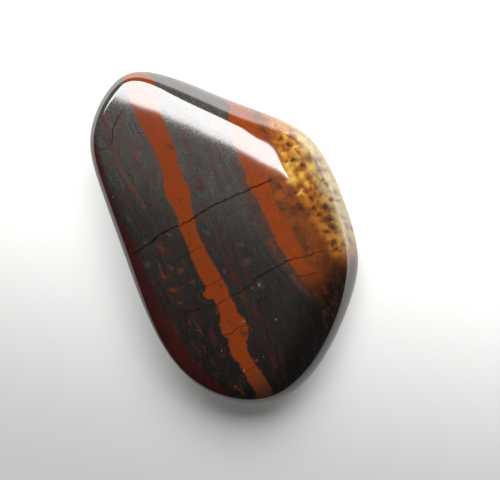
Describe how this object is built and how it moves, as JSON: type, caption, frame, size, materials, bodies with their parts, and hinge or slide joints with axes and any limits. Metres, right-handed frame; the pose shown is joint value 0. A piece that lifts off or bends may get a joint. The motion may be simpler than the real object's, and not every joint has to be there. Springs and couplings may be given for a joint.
{
  "type": "polished mugglestone",
  "caption": "Freeform polished banded stone with a low domed face, a narrow end and a flat back to rest on.",
  "frame": {"origin": "middle of the stone's outline, on the flat back that it rests on", "axes": "+Y along the stone's length towards its narrow end, +Z out of the polished face"},
  "size_m": [0.0208, 0.0324, 0.0062],
  "materials": {
    "stone": "mirror-polished dark grey-green ironstone with orange-brown jasper bands, red streaks, a golden speckled edge and fine black cracks"
  },
  "bodies": {
    "root": {"mugglestone": "stone"}
  },
  "joints": []
}
